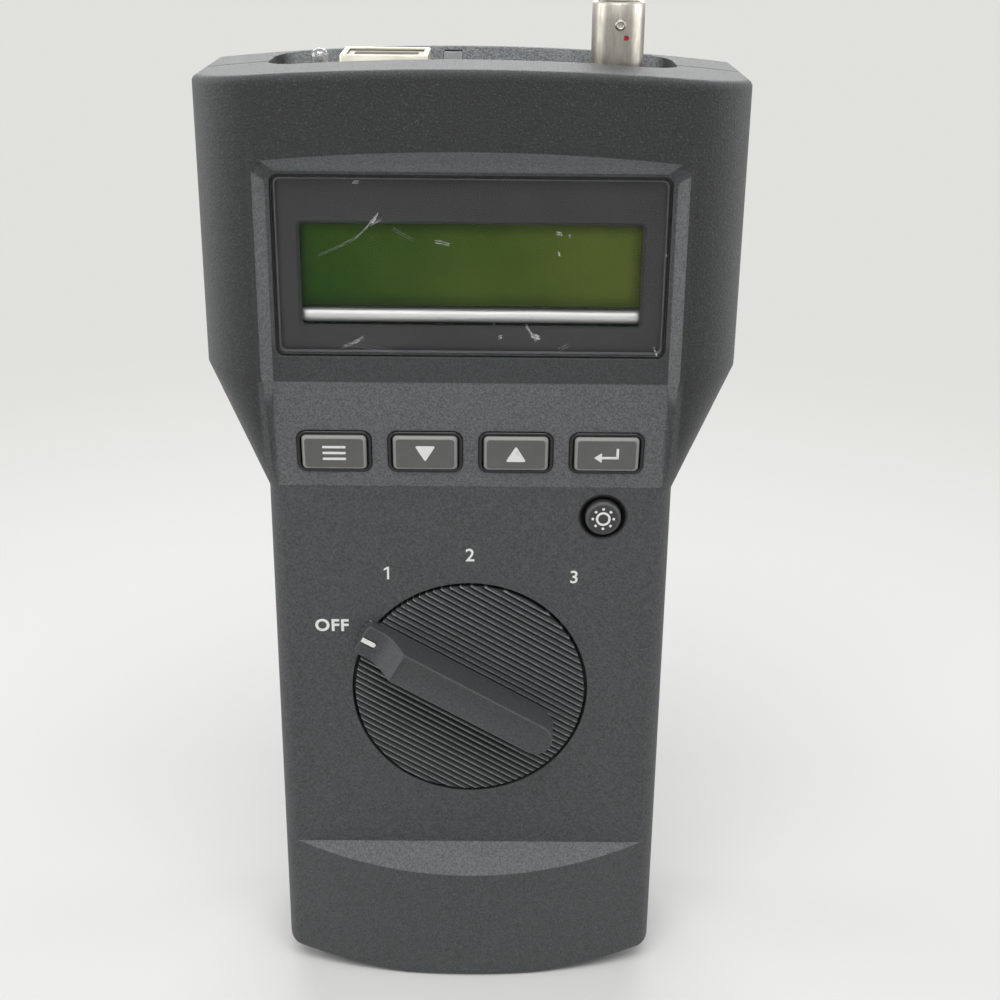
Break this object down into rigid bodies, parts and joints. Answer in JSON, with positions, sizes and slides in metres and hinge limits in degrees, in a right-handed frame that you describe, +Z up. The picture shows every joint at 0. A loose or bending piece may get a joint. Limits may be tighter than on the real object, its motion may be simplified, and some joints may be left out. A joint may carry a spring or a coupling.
{
  "type": "network cable length counter",
  "caption": "Handheld network cable length tester with a display, keys, a selector knob, and data and coaxial sockets.",
  "frame": {"origin": "on the ground under the middle of the bounding box, with the tester standing on its lower end", "axes": "+Z up along the length towards the sockets, +X to the right seen from the front, +Y from the front face to the rear face"},
  "size_m": [0.1, 0.0418, 0.1989],
  "materials": {
    "case_plastic": "finely textured dark grey moulded plastic",
    "knob_plastic": "dark grey moulded plastic with fine ribs",
    "white_mark": "white filled mark",
    "key_rubber": "mid grey silicone",
    "surround_black": "glossy black",
    "lens_clear": "clear window, lightly scratched",
    "mask_black": "black printed border",
    "display_metal": "bright metal",
    "display_green": "dark green reflective display",
    "light_panel": "milky light guide",
    "board_green": "green circuit board",
    "chip_black": "black moulded part",
    "crystal_metal": "bright can",
    "steel_screw": "zinc plated steel",
    "rotor_plastic": "natural moulded plastic",
    "contact_metal": "gold plated spring metal",
    "spring_steel": "plated spring steel",
    "jack_metal": "plated sheet metal",
    "jack_plastic": "black moulded insert",
    "coax_nickel": "bright nickel plate",
    "insulator_white": "white insulator",
    "lamp_clear": "clear moulded lamp",
    "cell_wrap": "plain dark wrap"
  },
  "bodies": {
    "case": {"backlight_panel": "light_panel", "battery_plates": "spring_steel", "battery_springs": "spring_steel", "board_screws": "steel_screw", "case_screws": "steel_screw", "cell_1": "cell_wrap", "cell_2": "cell_wrap", "cell_3": "cell_wrap", "cell_4": "cell_wrap", "coax_body": "coax_nickel", "coax_contact": "contact_metal", "coax_insulator": "insulator_white", "coax_nut": "coax_nickel", "coax_washer": "coax_nickel", "connector_panel": "case_plastic", "crystal_can": "crystal_metal", "detent_spring": "spring_steel", "display_board": "board_green", "display_frame": "display_metal", "display_glass": "display_green", "display_lens": "lens_clear", "display_screws": "steel_screw", "down_surround": "surround_black", "enter_surround": "surround_black", "front_case": "case_plastic", "indicator_lamp": "lamp_clear", "jack_contacts": "contact_metal", "jack_insert": "jack_plastic", "jack_shell": "jack_metal", "key_board": "board_green", "key_pad": "key_rubber", "lens_mask": "mask_black", "light_bar": "display_metal", "light_switch": "chip_black", "main_board": "board_green", "memory_chip": "chip_black", "processor_chip": "chip_black", "pulse_chip": "chip_black", "rear_case": "case_plastic", "setup_surround": "surround_black", "storage_capacitor": "chip_black", "up_surround": "surround_black"},
    "knob": {"selector_knob": "knob_plastic", "pointer_mark": "white_mark", "switch_rotor": "rotor_plastic", "wiper_contacts": "contact_metal", "rotor_screw": "steel_screw"},
    "door": {"battery_door": "case_plastic", "door_screw": "steel_screw"},
    "setup": {"setup_key": "key_rubber"},
    "down": {"down_key": "key_rubber"},
    "up": {"up_key": "key_rubber"},
    "enter": {"enter_key": "key_rubber"},
    "light": {"light_key": "key_rubber"}
  },
  "joints": [
    {"name": "knob_turn", "type": "hinge", "parent": "case", "child": "knob", "pos_m": [0, -0.0128, 0.0671], "axis": [0, -1, 0], "range_deg": [-90, 0]},
    {"name": "setup_press", "type": "slide", "parent": "case", "child": "setup", "axis": [0, 0.9899, 0.1414], "range_m": [0, 0.001], "stiffness_N_per_m": 600, "springref_m": -0.0004},
    {"name": "down_press", "type": "slide", "parent": "case", "child": "down", "axis": [0, 0.9899, 0.1414], "range_m": [0, 0.001], "stiffness_N_per_m": 600, "springref_m": -0.0004},
    {"name": "up_press", "type": "slide", "parent": "case", "child": "up", "axis": [0, 0.9899, 0.1414], "range_m": [0, 0.001], "stiffness_N_per_m": 600, "springref_m": -0.0004},
    {"name": "enter_press", "type": "slide", "parent": "case", "child": "enter", "axis": [0, 0.9899, 0.1414], "range_m": [0, 0.001], "stiffness_N_per_m": 600, "springref_m": -0.0004},
    {"name": "light_press", "type": "slide", "parent": "case", "child": "light", "axis": [0, 1, 0], "range_m": [0, 0.001], "stiffness_N_per_m": 600, "springref_m": -0.0004},
    {"name": "door_lift", "type": "slide", "parent": "case", "child": "door", "axis": [0, 1, 0], "range_m": [0, 0.03]}
  ]
}
